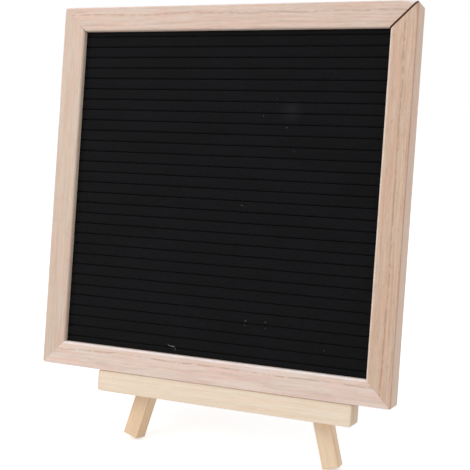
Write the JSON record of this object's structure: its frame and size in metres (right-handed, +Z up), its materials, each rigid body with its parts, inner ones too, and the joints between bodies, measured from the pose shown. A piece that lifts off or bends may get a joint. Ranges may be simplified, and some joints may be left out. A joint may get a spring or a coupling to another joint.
{
  "type": "felt letter board with easel",
  "caption": "Square felt letter board in a mitred wooden frame, leaning on a small folding tabletop easel with a hinged rear leg.",
  "frame": {"origin": "on the floor, under the middle of the whole object's box", "axes": "+Z up, +X to the right as the board is read, -Y towards the reader; the board leans back towards +Y"},
  "size_m": [0.3, 0.2026, 0.3579],
  "materials": {
    "frame_wood": "bare sanded pale wood, fine straight grain",
    "easel_wood": "bare sanded pine",
    "black_felt": "matt black wool felt",
    "fibre_board": "smooth brown fibre board",
    "zinc_steel": "zinc plated steel",
    "brass_plate": "brass plated steel"
  },
  "bodies": {
    "standing_front": {"frame_top_rail": "frame_wood", "frame_bottom_rail": "frame_wood", "frame_left_stile": "frame_wood", "frame_right_stile": "frame_wood", "felt_face": "black_felt", "ribbed_core": "fibre_board", "backing_board": "fibre_board", "corner_nail_top_left": "zinc_steel", "corner_nail_top_right": "zinc_steel", "corner_nail_bottom_left": "zinc_steel", "corner_nail_bottom_right": "zinc_steel", "backing_tab_top_1": "zinc_steel", "backing_tab_top_2": "zinc_steel", "backing_tab_right_1": "zinc_steel", "backing_tab_right_2": "zinc_steel", "backing_tab_bottom_1": "zinc_steel", "backing_tab_bottom_2": "zinc_steel", "backing_tab_left_1": "zinc_steel", "backing_tab_left_2": "zinc_steel", "sawtooth_hanger": "zinc_steel", "hanger_nail_left": "zinc_steel", "hanger_nail_right": "zinc_steel", "easel_left_leg": "easel_wood", "easel_right_leg": "easel_wood", "easel_ledge": "easel_wood", "ledge_screw_left": "zinc_steel", "ledge_screw_right": "zinc_steel", "head_block": "easel_wood", "head_screw_left": "zinc_steel", "head_screw_right": "zinc_steel", "hinge_fixed_leaf": "brass_plate", "hinge_fixed_screw_1": "brass_plate", "hinge_fixed_screw_2": "brass_plate", "hinge_pin": "brass_plate"},
    "swinging_leg": {"rear_leg": "easel_wood", "hinge_moving_leaf": "brass_plate", "hinge_moving_screw_1": "brass_plate", "hinge_moving_screw_2": "brass_plate"}
  },
  "joints": [
    {"name": "rear_leg_fold", "type": "hinge", "parent": "standing_front", "child": "swinging_leg", "pos_m": [0.0137, -0.00883, 0.29496], "axis": [-1, 0, 0], "range_deg": [0, 28]}
  ]
}
